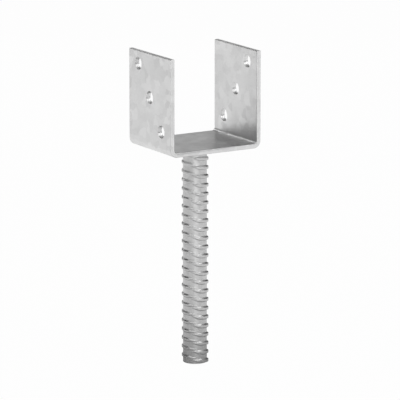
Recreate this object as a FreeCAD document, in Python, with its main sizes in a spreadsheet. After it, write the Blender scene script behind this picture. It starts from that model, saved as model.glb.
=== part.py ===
import FreeCAD, Part
import math
import os
import Sketcher
from FreeCAD import Vector

# Post anchor: a U folded from flat steel strap, welded on a ribbed bar that is cast into concrete.
# The origin is the centre of the web's upper face, where the post's foot rests, and +Z points up the post.
# The plates stand at -X and +X, and the strap's width runs along Y. Lengths are millimetres.

doc = FreeCAD.newDocument("post_anchor")

# Driving dimensions

DIMENSIONS = {
    "inner_width": 81,          # gap between the plates, for an 80 mm post
    "strap_thickness": 4,
    "strap_width": 70,
    "bracket_height": 84,       # underside of the web to the top of the plates
    "bend_radius": 2.5,         # inside radius of both folds
    "edge_break": 0.5,          # the strap's long edges and cut ends
    "hole_diameter": 11,
    "hole_top_distance": 11,    # top of a plate to the centre of its highest hole
    "hole_rise": 26.5,          # from one hole's height to the next
    "hole_step": 19,            # from one hole to the next across the strap
    "bar_diameter": 20.6,       # between the ribs
    "bar_length": 190,
    "bar_turn": 55,             # direction of the line at the back where the two rows meet, in degrees from +X
    "rib_height": 1.4,
    "rib_crest": 1.5,
    "rib_foot": 2.7,
    "rib_run_out": 0.2,         # how deep a rib has sunk into the bar a quarter of the way round from its middle
    "rib_pitch": 7.75,
    "left_slant": 3,            # degrees from square across the bar
    "right_slant": 9,
    "left_start": 5.8,          # from the web down to the middle of the row's first rib
    "right_start": 2.3,
    "root_depth": 0.8,          # how far a rib's foot reaches into the bar
    "weld_leg": 5,
}


def make_sheet():
    """Spreadsheet with one named plain number in each row."""
    sheet = doc.addObject("Spreadsheet::Sheet", "sizes")
    for row, (alias, value) in enumerate(DIMENSIONS.items(), start=1):
        sheet.set(f"A{row}", alias)
        sheet.set(f"B{row}", str(value))
        sheet.setAlias(f"B{row}", alias)
    doc.recompute()
    return sheet


sizes = make_sheet()

# Helpers for bodies, sketches and features


def new_body(name):
    body = doc.addObject("PartDesign::Body", name)
    body.Label = name
    return body


def origin_part(body, role):
    """One of the body's own origin planes or axes."""
    return next(item for item in body.Origin.OriginFeatures if item.Role == role)


def new_sketch(body, name, plane, offset=None):
    """Sketch on one of the body's origin planes, moved by an expression."""
    sketch = body.newObject("Sketcher::SketchObject", name)
    sketch.AttachmentSupport = [(origin_part(body, plane), "")]
    sketch.MapMode = "FlatFace"
    if offset:
        sketch.setExpression("AttachmentOffset", offset)
    return sketch


def bind(sketch, name, expression, kind, *references):
    """Constraint whose value follows the sheet."""
    value = float(sketch.evalExpression(expression))
    index = sketch.addConstraint(Sketcher.Constraint(kind, *references, value))
    sketch.renameConstraint(index, name)
    sketch.setExpression(f"Constraints.{name}", expression)


def add_outline(sketch, corners):
    """Closed straight-sided outline whose corners are pairs of expressions."""
    points = [Vector(*(sketch.evalExpression(term) for term in corner), 0) for corner in corners]
    count = len(corners)
    for index in range(count):
        sketch.addGeometry(Part.LineSegment(points[index], points[(index + 1) % count]), False)
    for index, (across, along) in enumerate(corners):
        sketch.addConstraint(Sketcher.Constraint("Coincident", index, 2, (index + 1) % count, 1))
        bind(sketch, f"across_{index}", across, "DistanceX", -1, 1, index, 1)
        bind(sketch, f"along_{index}", along, "DistanceY", -1, 1, index, 1)


def add_circle(sketch, name, diameter, across="0", along="0"):
    """Circle whose centre and diameter are expressions."""
    centre = Vector(sketch.evalExpression(across), sketch.evalExpression(along), 0)
    radius = sketch.evalExpression(diameter) / 2
    index = sketch.addGeometry(Part.Circle(centre, Vector(0, 0, 1), radius), False)
    bind(sketch, f"{name}_diameter", diameter, "Diameter", index)
    bind(sketch, f"{name}_across", across, "DistanceX", -1, 1, index, 3)
    bind(sketch, f"{name}_along", along, "DistanceY", -1, 1, index, 3)


def add_feature(body, kind, name, sketch, **settings):
    """Sketch-based feature; settings that are text with a sheet name in them are expressions."""
    feature = body.newObject(f"PartDesign::{kind}", name)
    feature.Profile = sketch
    for key, value in settings.items():
        if isinstance(value, str) and "sizes." in value:
            feature.setExpression(key, value)
        else:
            setattr(feature, key, value)
    return feature


# The folded strap


def add_strap_profile(sketch):
    """The U seen from the front: two plates, a web and two folds, all one thickness."""
    inner = sketch.evalExpression("sizes.inner_width / 2")
    thick = sketch.evalExpression("sizes.strap_thickness")
    top = sketch.evalExpression("sizes.bracket_height - sizes.strap_thickness")
    bend = sketch.evalExpression("sizes.bend_radius")
    outer = inner + thick
    fold = inner - bend
    normal = Vector(0, 0, 1)

    def line(x1, y1, x2, y2):
        return sketch.addGeometry(Part.LineSegment(Vector(x1, y1, 0), Vector(x2, y2, 0)), False)

    def quarter(x, radius, start):
        circle = Part.Circle(Vector(x, bend, 0), normal, radius)
        return sketch.addGeometry(Part.ArcOfCircle(circle, start, start + math.pi / 2), False)

    left_face = line(-outer, top, -outer, bend)
    left_outer_fold = quarter(-fold, bend + thick, math.pi)
    underside = line(-fold, -thick, fold, -thick)
    right_outer_fold = quarter(fold, bend + thick, math.pi * 3 / 2)
    right_face = line(outer, bend, outer, top)
    right_top = line(outer, top, inner, top)
    right_wall = line(inner, top, inner, bend)
    right_inner_fold = quarter(fold, bend, math.pi * 3 / 2)
    seat = line(fold, 0, -fold, 0)
    left_inner_fold = quarter(-fold, bend, math.pi)
    left_wall = line(-inner, bend, -inner, top)
    left_top = line(-inner, top, -outer, top)

    start, end, across_axis, up_axis = 1, 2, -1, -2
    joints = [
        ("Tangent", left_face, end, left_outer_fold, start),
        ("Tangent", left_outer_fold, end, underside, start),
        ("Tangent", underside, end, right_outer_fold, start),
        ("Tangent", right_outer_fold, end, right_face, start),
        ("Coincident", right_face, end, right_top, start),
        ("Coincident", right_top, end, right_wall, start),
        ("Tangent", right_wall, end, right_inner_fold, end),
        ("Tangent", right_inner_fold, start, seat, start),
        ("Tangent", seat, end, left_inner_fold, end),
        ("Tangent", left_inner_fold, start, left_wall, start),
        ("Coincident", left_wall, end, left_top, start),
        ("Coincident", left_top, end, left_face, start),
        ("PointOnObject", seat, start, across_axis),
        ("Symmetric", right_wall, start, left_wall, end, up_axis),
        ("Equal", left_inner_fold, right_inner_fold),
        ("Equal", left_outer_fold, right_outer_fold),
        ("Equal", left_top, right_top),
    ]
    joints += [("Vertical", item) for item in (left_face, right_face, right_wall, left_wall)]
    joints += [("Horizontal", item) for item in (underside, right_top, seat, left_top)]
    for joint in joints:
        sketch.addConstraint(Sketcher.Constraint(*joint))
    bind(sketch, "gap", "sizes.inner_width", "DistanceX", left_wall, end, right_wall, start)
    bind(sketch, "plate", "sizes.strap_thickness", "DistanceX", left_top, end, left_top, start)
    bind(sketch, "web", "sizes.strap_thickness", "DistanceY", underside, start, seat, end)
    bind(sketch, "height", "sizes.bracket_height", "DistanceY", underside, start, left_top, end)
    bind(sketch, "inner_fold", "sizes.bend_radius", "Radius", left_inner_fold)
    bind(sketch, "outer_fold", "sizes.bend_radius + sizes.strap_thickness", "Radius", left_outer_fold)


def add_plate_holes(body, side, slope):
    """Three holes through one plate, on a line that slants across it."""
    sketch = new_sketch(body, f"{side}_hole_layout", "YZ_Plane")
    highest = "sizes.bracket_height - sizes.strap_thickness - sizes.hole_top_distance"
    for index in range(3):
        across = f"{slope * (1 - index)} * sizes.hole_step"
        along = f"{highest} - {index} * sizes.hole_rise"
        add_circle(sketch, f"hole_{index}", "sizes.hole_diameter", across, along)
    return add_feature(body, "Pocket", f"{side}_holes", sketch, Type="ThroughAll", Reversed=side == "right")


def make_bracket():
    body = new_body("u_bracket")
    profile = new_sketch(body, "strap_profile", "XZ_Plane")
    add_strap_profile(profile)
    add_feature(body, "Pad", "strap", profile, Length="sizes.strap_width", Midplane=True)
    doc.recompute()
    edges = body.newObject("PartDesign::Chamfer", "broken_edges")
    edges.Base = (doc.strap, [""])
    edges.UseAllEdges = True
    edges.setExpression("Size", "sizes.edge_break")
    doc.recompute()
    add_plate_holes(body, "left", 1)
    add_plate_holes(body, "right", -1)
    return body


# The ribbed bar

BAR_TOP = "(-sizes.strap_thickness)"
CORE = "(sizes.bar_diameter / 2)"
TIP = "(sizes.bar_diameter / 2 + sizes.rib_height)"


def add_rib_row(body, name, turn, slant, start):
    """Crescent ribs down one side of the bar, from above its top to below its foot.

    A rib is what shows of a round disc that stands slanting in the bar, a little off its centre. The slanted cut
    through the bar is an ellipse, and the disc sinks out of sight just before it reaches the ellipse's long axis.
    """
    reach = f"({CORE} / cos({slant}) - sizes.rib_run_out)"
    shift = f"(({TIP}^2 - {reach}^2) / (2 * {TIP}))"
    radius = f"({TIP} - {shift})"
    offset = (
        f"placement(vector({shift} * cos({turn}); {shift} * sin({turn}); {BAR_TOP} - {start});"
        f" rotation({turn}; 0; 90 - {slant}))"
    )
    sketch = new_sketch(body, f"{name}_section", "XY_Plane", offset)
    slope = "((sizes.rib_foot - sizes.rib_crest) / (2 * sizes.rib_height))"
    root = f"({CORE} - {shift} - sizes.root_depth)"
    half_root = f"(sizes.rib_foot / 2 + {slope} * sizes.root_depth)"
    add_outline(sketch, [
        (root, f"-{half_root}"),
        (radius, "-sizes.rib_crest / 2"),
        (radius, "sizes.rib_crest / 2"),
        (root, half_root),
    ])
    rib = add_feature(body, "Revolution", f"{name}_rib", sketch, Angle=360, Refine=False)
    rib.ReferenceAxis = (sketch, ["V_Axis"])
    doc.recompute()
    row = body.newObject("PartDesign::LinearPattern", name)
    row.Originals = [rib]
    row.Direction = (origin_part(body, "Z_Axis"), [""])
    row.Reversed = True
    row.Mode = "Spacing"
    row.Refine = False
    row.setExpression("Offset", "sizes.rib_pitch")
    row.setExpression("Occurrences", "floor(sizes.bar_length / sizes.rib_pitch) + 3")
    body.Tip = row
    doc.recompute()
    return row


def trim_bar(body, name, level, upward):
    """Saw cut that leaves the bar's end flat, through ribs and all."""
    sketch = new_sketch(body, f"{name}_outline", "XY_Plane", f"placement(vector(0; 0; {level}); rotation(0; 0; 0))")
    add_circle(sketch, "clear", f"4 * {TIP}")
    return add_feature(body, "Pocket", name, sketch, Length="4 * sizes.rib_pitch", Reversed=upward)


def melt_ribs(body):
    """Take the ribs off where the weld has swallowed them, down to the bar's plain skin."""
    sketch = new_sketch(body, "melted_outline", "XY_Plane", f"placement(vector(0; 0; {BAR_TOP}); rotation(0; 0; 0))")
    add_circle(sketch, "clear", f"4 * {TIP}")
    add_circle(sketch, "skin", "sizes.bar_diameter")
    return add_feature(body, "Pocket", "melted_ribs", sketch, Length="sizes.weld_leg")


def make_bar():
    body = new_body("anchor_bar")
    outline = new_sketch(body, "core_outline", "XY_Plane", f"placement(vector(0; 0; {BAR_TOP}); rotation(0; 0; 0))")
    add_circle(outline, "core", "sizes.bar_diameter")
    add_feature(body, "Pad", "core", outline, Length="sizes.bar_length", Reversed=True)
    doc.recompute()
    add_rib_row(
        body, "left_ribs", "(sizes.bar_turn + 90)", "sizes.left_slant", "(sizes.left_start - sizes.rib_pitch)"
    )
    add_rib_row(
        body, "right_ribs", "(sizes.bar_turn - 90)", "sizes.right_slant", "(sizes.right_start - sizes.rib_pitch)"
    )
    trim_bar(body, "top_cut", BAR_TOP, True)
    trim_bar(body, "foot_cut", f"{BAR_TOP} - sizes.bar_length", False)
    melt_ribs(body)
    doc.recompute()
    return body


# The weld


def make_weld():
    """Fillet of weld metal round the bar under the web."""
    body = new_body("weld_bead")
    sketch = new_sketch(body, "weld_section", "XZ_Plane")
    add_outline(sketch, [
        (CORE, BAR_TOP),
        (f"({CORE} + sizes.weld_leg)", BAR_TOP),
        (CORE, f"({BAR_TOP} - sizes.weld_leg)"),
    ])
    ring = add_feature(body, "Revolution", "weld_metal", sketch, Angle=360)
    ring.ReferenceAxis = (sketch, ["V_Axis"])
    return body


# Build, check and write


def check_document():
    """Stop unless every object and every sub-part came out whole."""
    failed = [item.Name for item in doc.Objects if {"Invalid", "Error"} & set(item.State)]
    if failed:
        raise RuntimeError(f"failed objects: {failed}")
    for part in PARTS:
        if part.Shape.isNull() or not part.Shape.isValid():
            raise RuntimeError(f"bad shape: {part.Label}")


bracket = make_bracket()
bar = make_bar()
weld = make_weld()
PARTS = [bracket, bar, weld]
doc.recompute()
check_document()
os.makedirs("parts", exist_ok=True)
for part in PARTS:
    print(part.Label, len(part.Shape.Solids), "solid", round(part.Shape.Volume), "mm3")
    part.Shape.exportStep(f"parts/{part.Label}.step")
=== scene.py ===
import math

import bmesh
import bpy
from mathutils import Matrix, Vector, noise


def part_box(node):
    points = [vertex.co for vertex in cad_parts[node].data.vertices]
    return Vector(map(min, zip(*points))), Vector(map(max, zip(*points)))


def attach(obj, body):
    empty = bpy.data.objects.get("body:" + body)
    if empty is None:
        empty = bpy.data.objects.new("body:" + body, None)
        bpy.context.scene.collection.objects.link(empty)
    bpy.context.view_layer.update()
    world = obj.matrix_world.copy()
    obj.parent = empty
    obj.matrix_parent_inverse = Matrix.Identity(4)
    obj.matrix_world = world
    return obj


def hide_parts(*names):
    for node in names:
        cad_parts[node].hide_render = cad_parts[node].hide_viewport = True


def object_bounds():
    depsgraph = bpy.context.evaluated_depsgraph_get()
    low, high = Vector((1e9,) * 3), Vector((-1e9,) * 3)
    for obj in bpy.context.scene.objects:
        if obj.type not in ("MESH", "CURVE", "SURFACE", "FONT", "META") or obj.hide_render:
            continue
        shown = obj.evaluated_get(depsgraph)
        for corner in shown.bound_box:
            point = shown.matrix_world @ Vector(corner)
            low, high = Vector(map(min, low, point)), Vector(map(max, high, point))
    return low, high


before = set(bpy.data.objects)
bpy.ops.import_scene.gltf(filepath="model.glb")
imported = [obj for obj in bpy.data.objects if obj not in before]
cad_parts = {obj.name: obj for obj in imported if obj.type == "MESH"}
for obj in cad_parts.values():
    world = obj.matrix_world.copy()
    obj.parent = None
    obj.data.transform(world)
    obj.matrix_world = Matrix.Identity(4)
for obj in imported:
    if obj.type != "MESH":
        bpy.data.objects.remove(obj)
cad_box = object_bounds()

# A galvanised post anchor: a folded strap with six bolt holes, a ribbed bar under it, and the weld between
# them. Lengths are metres. The web's upper face is at height 0, the plates stand left and right, and the bar
# points down. Azimuths are degrees to the right of the front, and elevations degrees above level.

# The photograph's frame and viewpoint. The web's underside has its middle at the pixel WEB_AT.
PICTURE = 400
WEB_AT = (194.9, 146.1)
PIXELS_PER_METRE = 1170
VIEW_AZIMUTH = -30.8
VIEW_ELEVATION = 11.5
VIEW_DISTANCE = 2.967
SENSOR_WIDTH = 36
NEAREST_SEEN = 0.01
FARTHEST_SEEN = 100

# The zinc on every piece. The crystals' borders wander by BORDER_WANDER of a crystal, in BORDER_WAVES waves
# to a crystal. Crystals differ by CRYSTAL_CONTRAST of the tone, and the two glosses say how far the roughness
# differs. Clouds, pits and grains are counted to the metre, and a grain is GRAIN_DEPTH as deep as a pit.
BORDER_WANDER = 0.9
BORDER_WAVES = 0.7
CRYSTAL_CONTRAST = 0.05
CRYSTAL_GLOSS = 0.05
CLOUD_GLOSS = 0.06
CLOUDS = 38
PITS = 150
GRAINS = 520
GRAIN_DEPTH = 0.35
BUMP_STRENGTH = 0.5

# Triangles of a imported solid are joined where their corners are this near. Edges sharper than these angles
# stay crisp.
JOIN_DISTANCE = 0.000001
SHARP_FOLD = math.radians(60)
SHARP_ROUND = math.radians(50)

# The bar without its ribs, the rings that it is modelled in, and the edge worn off its cut end
BAR_RADIUS = 0.0103
BAR_SIDES = 96
BAR_STEP = 0.0004
BAR_EDGE = 0.0003

# The ribs reach RIB_REACH to each side of their middles and narrow over the last RIB_POINT of it. They fall
# to the bar over RIB_FLANK, or less at their points, but never under THINNEST_FLANK. Each row is the angle of
# its ribs' middles from +X, how steeply they fall to the right as seen from outside, how deep below the web
# the first one's middle lies, how high the ribs stand, and half their width at the foot.
RIB_PITCH = 0.00775
RIB_REACH = math.radians(108)
RIB_POINT = math.radians(50)
RIB_FLANK = 0.0009
THINNEST_FLANK = 0.000001
RIB_ROWS = (
    (math.radians(145), math.radians(3), 0.0055, 0.0011, 0.0016),
    (math.radians(-35), math.radians(6), 0.0026, 0.0014, 0.0019),
)

# The fillet weld round the top of the bar. Its ripples bow by RIPPLE_BOW of half a wave in the middle.
WELD_LEG = 0.005
WELD_CROWN = 0.0006
WELD_POINTS = 10
WELD_STEPS = 288
WELD_RIPPLES = 40
RIPPLE_HEIGHT = 0.00012
RIPPLE_BOW = 0.9
WELD_WANDER = 0.0003
WANDER_SCALE = 2

# In the zinc the floor is shaded up to NEAR_FLOOR from the bar's middle and white past OPEN_FLOOR. A ray that
# meets it within CONTACT starts on the bar's own end.
WHITE = (1, 1, 1, 1)
FLOOR_COLOUR = (0.5, 0.5, 0.5, 1)
FLOOR_SIZE = 40
FLOOR_LIFT = 0.98
NEAR_FLOOR = 0.02
OPEN_FLOOR = 0.18
CONTACT = 0.0005

# How strongly the surroundings light the anchor, and how bright the zinc mirrors them above the horizon
SKY_LIGHT = 0.3
SKY_MIRRORED = 0.055

# Each softbox is its azimuth, elevation, width and watts.
SOFTBOX_DISTANCE = 1.6
SOFTBOXES = {
    "front": (-20, 8, 0.9, 4.8),
    "front_right": (45, 5, 0.9, 1.2),
    "high_left": (-60, 45, 1.2, 6),
    "high_right": (22, 46, 1.2, 10),
    "right_high": (90, 55, 1.2, 1.4),
    "back": (150, 14, 0.9, 1.3),
    "back_left": (-172, 10, 0.9, 0.6),
    "fold_glint": (-167, 30, 0.4, 1.3),
    "overhead": (170, 68, 1.2, 1.2),
}


# Node helpers


def new_material(name):
    """Empty node material; returns the material and its node tree."""
    material = bpy.data.materials.new(name)
    material.use_nodes = True
    tree = material.node_tree
    tree.nodes.clear()
    return material, tree


def set_input(tree, node, socket, value):
    """Gives a socket a plain value, or links another node's output to it."""
    if isinstance(value, bpy.types.NodeSocket):
        tree.links.new(value, node.inputs[socket])
    else:
        node.inputs[socket].default_value = value


def add_node(tree, kind, **inputs):
    """Node of one kind; the inputs are plain values or other nodes' outputs, by socket name."""
    node = tree.nodes.new(kind)
    for name, value in inputs.items():
        set_input(tree, node, name.replace("_", " "), value)
    return node


def math_node(tree, operation, first, second):
    """Number that an operation makes of two."""
    node = tree.nodes.new("ShaderNodeMath")
    node.operation = operation
    set_input(tree, node, 0, first)
    set_input(tree, node, 1, second)
    return node.outputs["Value"]


def mix_numbers(tree, share, first, second):
    """The first number where the share is 0 and the second where it is 1."""
    return add_node(tree, "ShaderNodeMix", Factor=share, A=first, B=second).outputs["Result"]


def mix_shaders(tree, share, first, second):
    """The first shader where the share is 0 and the second where it is 1."""
    node = tree.nodes.new("ShaderNodeMixShader")
    for socket, value in enumerate((share, first, second)):
        set_input(tree, node, socket, value)
    return node.outputs["Shader"]


def soft_noise(tree, place, scale, detail, roughness=0.55):
    """Soft random tone from 0 to 1 with blotches about 1 / scale metres across."""
    node = add_node(
        tree, "ShaderNodeTexNoise", Vector=place, Scale=scale, Detail=detail, Roughness=roughness,
    )
    return node.outputs["Fac"]


def swing(tree, tone, middle, reach):
    """Turns a tone from 0 to 1 into one that lies within a reach of a middle."""
    node = add_node(tree, "ShaderNodeMapRange", Value=tone, To_Min=middle - reach, To_Max=middle + reach)
    return node.outputs["Result"]


# Finishes


def galvanised(name, tone, roughness, crystal, mottle, pitting):
    """Hot-dip zinc: flat crystals with wandering borders, cloudy patches, fine grain and uneven gloss.

    crystal is the crystals' size and pitting the pits' depth in metres, and mottle is the patches' contrast.
    """
    material, tree = new_material(name)
    place = tree.nodes.new("ShaderNodeTexCoord").outputs["Object"]

    warp = add_node(tree, "ShaderNodeTexNoise", Vector=place, Scale=BORDER_WAVES / crystal, Detail=3)
    warped = add_node(
        tree, "ShaderNodeMixRGB", Fac=crystal * BORDER_WANDER, Color1=place, Color2=warp.outputs["Color"],
    )
    warped.blend_type = "LINEAR_LIGHT"
    cells = add_node(tree, "ShaderNodeTexVoronoi", Vector=warped.outputs["Color"], Scale=1 / crystal)
    facet = add_node(tree, "ShaderNodeSeparateColor", Color=cells.outputs["Color"])

    cloud = soft_noise(tree, place, CLOUDS, detail=5)
    grain = soft_noise(tree, place, GRAINS, detail=3, roughness=0.6)
    brightness = swing(tree, facet.outputs["Red"], 1, CRYSTAL_CONTRAST)
    for share in (swing(tree, cloud, 1, mottle), swing(tree, grain, 1, mottle / 2), tone):
        brightness = math_node(tree, "MULTIPLY", brightness, share)
    colour = add_node(tree, "ShaderNodeCombineColor", Red=brightness, Green=brightness, Blue=brightness)

    cloud_gloss = swing(tree, cloud, roughness, CLOUD_GLOSS)
    gloss = math_node(tree, "ADD", cloud_gloss, swing(tree, facet.outputs["Green"], 0, CRYSTAL_GLOSS))

    grain_dents = math_node(tree, "MULTIPLY", grain, GRAIN_DEPTH)
    dents = math_node(tree, "ADD", grain_dents, soft_noise(tree, place, PITS, detail=4))
    bump = add_node(tree, "ShaderNodeBump", Strength=BUMP_STRENGTH, Distance=pitting, Height=dents)

    shader = add_node(
        tree, "ShaderNodeBsdfPrincipled",
        Base_Color=colour.outputs["Color"], Metallic=1, Roughness=gloss, Normal=bump.outputs["Normal"],
    )
    add_node(tree, "ShaderNodeOutputMaterial", Surface=shader.outputs["BSDF"])
    return material


# Pieces


def add_piece(name, model, node, material):
    """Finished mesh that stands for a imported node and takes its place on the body."""
    mesh = bpy.data.meshes.new(name)
    model.to_mesh(mesh)
    model.free()
    piece = bpy.data.objects.new(name, mesh)
    bpy.context.scene.collection.objects.link(piece)
    mesh.materials.append(material)
    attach(piece, "root")
    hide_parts(node)
    return piece


def smooth_shade(model, sharp_angle):
    """Smooth shading that stays crisp where two faces meet at more than an angle."""
    for face in model.faces:
        face.smooth = True
    for edge in model.edges:
        edge.smooth = len(edge.link_faces) == 2 and edge.calc_face_angle() < sharp_angle


def make_strap(material):
    """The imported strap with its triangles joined, so that folds and broken edges shade as rolled steel."""
    model = bmesh.new()
    model.from_mesh(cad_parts["u_bracket"].data)
    bmesh.ops.remove_doubles(model, verts=model.verts, dist=JOIN_DISTANCE)
    smooth_shade(model, SHARP_FOLD)
    strap = add_piece("folded_strap", model, "u_bracket", material)
    even = strap.modifiers.new("even_shading", "WEIGHTED_NORMAL")
    even.keep_sharp = True
    even.weight = 100


def rise(share):
    """Soft step from 0 to 1."""
    share = min(max(share, 0), 1)
    return share * share * (3 - 2 * share)


def rib_height(turn, depth):
    """How far the ribs stand over the bar's skin, at an angle round the bar and a depth below the web.

    Each rib is a leaf: low and pointed at its two ends, high and broad along its middle.
    """
    height = 0
    for middle, slant, start, crest_height, half_width in RIB_ROWS:
        off = (turn - middle + math.pi) % (2 * math.pi) - math.pi
        remaining = RIB_REACH - abs(off)
        if remaining <= 0:
            continue
        crest = start + BAR_RADIUS * math.tan(slant) * off
        away = abs((depth - crest + RIB_PITCH / 2) % RIB_PITCH - RIB_PITCH / 2)
        width = half_width * rise(remaining / RIB_POINT)
        flank = max(min(RIB_FLANK, width), THINNEST_FLANK)
        crown = crest_height * math.sqrt(remaining / RIB_REACH)
        height = max(height, crown * rise((width - away) / flank))
    return height * rise((depth - WELD_LEG) / RIB_FLANK)


def make_bar(material):
    """Ribbed bar: a plain bar in fine rings, with crescent ribs raised on it in two staggered rows."""
    foot, top = (corner.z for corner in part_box("anchor_bar"))
    length = top - foot
    model = bmesh.new()
    bmesh.ops.create_cone(
        model, cap_ends=True, segments=BAR_SIDES, radius1=BAR_RADIUS, radius2=BAR_RADIUS, depth=length,
        matrix=Matrix.Translation((0, 0, (top + foot) / 2)),
    )
    uprights = [edge for edge in model.edges if edge.verts[0].co.z != edge.verts[1].co.z]
    bmesh.ops.subdivide_edges(model, edges=uprights, cuts=round(length / BAR_STEP))
    for vertex in model.verts:
        place = vertex.co
        raised = rib_height(math.atan2(place.y, place.x), top - place.z)
        worn = BAR_EDGE * (1 - min((place.z - foot) / BAR_EDGE, 1))
        scale = (BAR_RADIUS + raised - worn) / BAR_RADIUS
        place.x *= scale
        place.y *= scale
    smooth_shade(model, SHARP_ROUND)
    add_piece("ribbed_bar", model, "anchor_bar", material)


def make_weld(material):
    """Fillet weld: a crowned section spun round the bar, with the ripples that the arc leaves."""
    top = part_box("weld_bead")[1].z
    toe = Vector((BAR_RADIUS + WELD_LEG, 0, top))
    heel = Vector((BAR_RADIUS, 0, top - WELD_LEG))
    outward = Vector((1, 0, -1)).normalized()
    model = bmesh.new()
    outline = []
    for index in range(WELD_POINTS + 1):
        share = index / WELD_POINTS
        crown = WELD_CROWN * math.sin(math.pi * share)
        outline.append(model.verts.new(toe.lerp(heel, share) + outward * crown))
    outline.append(model.verts.new((BAR_RADIUS, 0, top)))
    for index, vertex in enumerate(outline):
        model.edges.new((vertex, outline[(index + 1) % len(outline)]))
    bmesh.ops.spin(
        model, geom=model.verts[:] + model.edges[:], cent=(0, 0, 0), axis=(0, 0, 1), angle=2 * math.pi,
        steps=WELD_STEPS, use_merge=True,
    )
    bmesh.ops.recalc_face_normals(model, faces=model.faces)
    for vertex in model.verts:
        turn = math.atan2(vertex.co.y, vertex.co.x)
        share = (top - vertex.co.z) / WELD_LEG
        middle = math.sin(math.pi * min(max(share, 0), 1))
        ripple = math.cos(WELD_RIPPLES * turn + RIPPLE_BOW * math.pi * middle)
        wander = noise.noise(Vector((math.cos(turn), math.sin(turn), share)) * WANDER_SCALE)
        radial = Vector((vertex.co.x, vertex.co.y, 0)).normalized()
        vertex.co += (radial - Vector((0, 0, 1))) * middle * (RIPPLE_HEIGHT * ripple + WELD_WANDER * wander)
    smooth_shade(model, SHARP_ROUND)
    add_piece("weld_fillet", model, "weld_bead", material)


def make_anchor():
    """The three pieces, each in its own zinc: smooth on the strap, rougher on the bar and the weld."""
    make_strap(galvanised(
        "strap_zinc", tone=0.7, roughness=0.37, crystal=0.007, mottle=0.06, pitting=0.00008,
    ))
    make_bar(galvanised(
        "bar_zinc", tone=0.585, roughness=0.42, crystal=0.005, mottle=0.08, pitting=0.00015,
    ))
    make_weld(galvanised(
        "weld_zinc", tone=0.62, roughness=0.5, crystal=0.003, mottle=0.08, pitting=0.0002,
    ))


# Studio


def floor_material():
    """Pale matt floor, lifted to white for the camera and, away from the bar's foot, in the zinc.

    It keeps the soft shadow at the foot. It is open from below, and to the bar's end that stands on it.
    """
    material, tree = new_material("studio_floor")
    path = tree.nodes.new("ShaderNodeLightPath").outputs
    place = tree.nodes.new("ShaderNodeTexCoord").outputs["Object"]

    away = add_node(tree, "ShaderNodeVectorMath", Vector=place)
    away.operation = "LENGTH"
    unshaded = add_node(
        tree, "ShaderNodeMapRange", Value=away.outputs["Value"], From_Min=NEAR_FLOOR, From_Max=OPEN_FLOOR,
    )
    unshaded.interpolation_type = "SMOOTHSTEP"
    mirrored = math_node(tree, "MULTIPLY", path["Is Glossy Ray"], unshaded.outputs["Result"])
    lifted = math_node(tree, "MAXIMUM", path["Is Camera Ray"], mirrored)
    matt = add_node(tree, "ShaderNodeBsdfDiffuse", Color=FLOOR_COLOUR)
    glow = add_node(tree, "ShaderNodeEmission", Color=WHITE, Strength=1)
    pale = mix_shaders(
        tree, math_node(tree, "MULTIPLY", lifted, FLOOR_LIFT), matt.outputs["BSDF"], glow.outputs["Emission"],
    )

    touching = math_node(tree, "LESS_THAN", path["Ray Length"], CONTACT)
    behind = tree.nodes.new("ShaderNodeNewGeometry").outputs["Backfacing"]
    clear = tree.nodes.new("ShaderNodeBsdfTransparent").outputs["BSDF"]
    surface = mix_shaders(tree, math_node(tree, "MAXIMUM", behind, touching), pale, clear)
    add_node(tree, "ShaderNodeOutputMaterial", Surface=surface)
    return material


def add_floor(level):
    """Plain floor that the bar's foot stands on."""
    bpy.ops.mesh.primitive_plane_add(size=FLOOR_SIZE, location=(0, 0, level))
    floor = bpy.context.object
    floor.name = "floor"
    floor.data.materials.append(floor_material())


def light_world():
    """Surroundings that are white to the camera and light the anchor softly from all sides.

    The zinc mirrors them white below the horizon and dark above it, as in a dark studio.
    """
    world = bpy.data.worlds.new("studio")
    bpy.context.scene.world = world
    world.use_nodes = True
    tree = world.node_tree
    tree.nodes.clear()
    path = tree.nodes.new("ShaderNodeLightPath").outputs
    direction = tree.nodes.new("ShaderNodeTexCoord").outputs["Generated"]
    height = add_node(tree, "ShaderNodeSeparateXYZ", Vector=direction).outputs["Z"]
    mirrored = mix_numbers(tree, math_node(tree, "LESS_THAN", height, 0), SKY_MIRRORED, 1)
    strength = mix_numbers(tree, path["Is Glossy Ray"], SKY_LIGHT, mirrored)
    strength = mix_numbers(tree, path["Is Camera Ray"], strength, 1)
    sky = add_node(tree, "ShaderNodeBackground", Color=WHITE, Strength=strength)
    add_node(tree, "ShaderNodeOutputWorld", Surface=sky.outputs["Background"])


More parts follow.
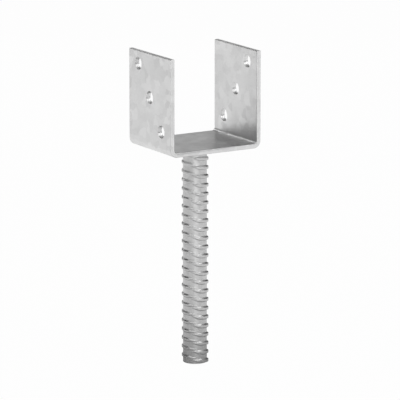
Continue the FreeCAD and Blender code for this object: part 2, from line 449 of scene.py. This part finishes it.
def towards(azimuth, elevation):
    """Direction of length 1 from the anchor."""
    turn = math.radians(azimuth)
    tilt = math.radians(elevation)
    return Vector((math.sin(turn) * math.cos(tilt), -math.cos(turn) * math.cos(tilt), math.sin(tilt)))


def add_softbox(name, azimuth, elevation, width, power):
    """Square soft light that looks at the middle of the anchor."""
    lamp = bpy.data.lights.new(name, "AREA")
    lamp.shape = "SQUARE"
    lamp.size = width
    lamp.energy = power
    softbox = bpy.data.objects.new(name, lamp)
    bpy.context.scene.collection.objects.link(softbox)
    away = towards(azimuth, elevation)
    centre = (cad_box[0] + cad_box[1]) / 2
    softbox.location = centre + away * SOFTBOX_DISTANCE
    softbox.rotation_euler = away.to_track_quat("Z", "Y").to_euler()


def add_camera(web_underside):
    """Long lens at the photograph's angle, aimed so that the web's underside shows its middle at WEB_AT."""
    turn = math.radians(VIEW_AZIMUTH)
    back = towards(VIEW_AZIMUTH, VIEW_ELEVATION)
    right = Vector((math.cos(turn), math.sin(turn), 0))
    up = back.cross(right)
    middle = Vector((0, 0, web_underside))
    aim = middle + (right * (PICTURE / 2 - WEB_AT[0]) - up * (PICTURE / 2 - WEB_AT[1])) / PIXELS_PER_METRE
    data = bpy.data.cameras.new("camera")
    data.sensor_width = SENSOR_WIDTH
    data.lens = SENSOR_WIDTH * PIXELS_PER_METRE * VIEW_DISTANCE / PICTURE
    data.clip_start = NEAREST_SEEN
    data.clip_end = FARTHEST_SEEN
    camera = bpy.data.objects.new("camera", data)
    bpy.context.scene.collection.objects.link(camera)
    camera.location = middle + back * VIEW_DISTANCE
    camera.rotation_mode = "QUATERNION"
    camera.rotation_quaternion = (camera.location - aim).to_track_quat("Z", "Y")
    bpy.context.scene.camera = camera


def make_studio():
    """Floor, surroundings, softboxes and camera."""
    bar_foot, web_underside = (corner.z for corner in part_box("anchor_bar"))
    add_floor(bar_foot)
    light_world()
    for name, settings in SOFTBOXES.items():
        add_softbox(name, *settings)
    add_camera(web_underside)
    bpy.context.scene.view_settings.view_transform = "Standard"


make_anchor()
make_studio()
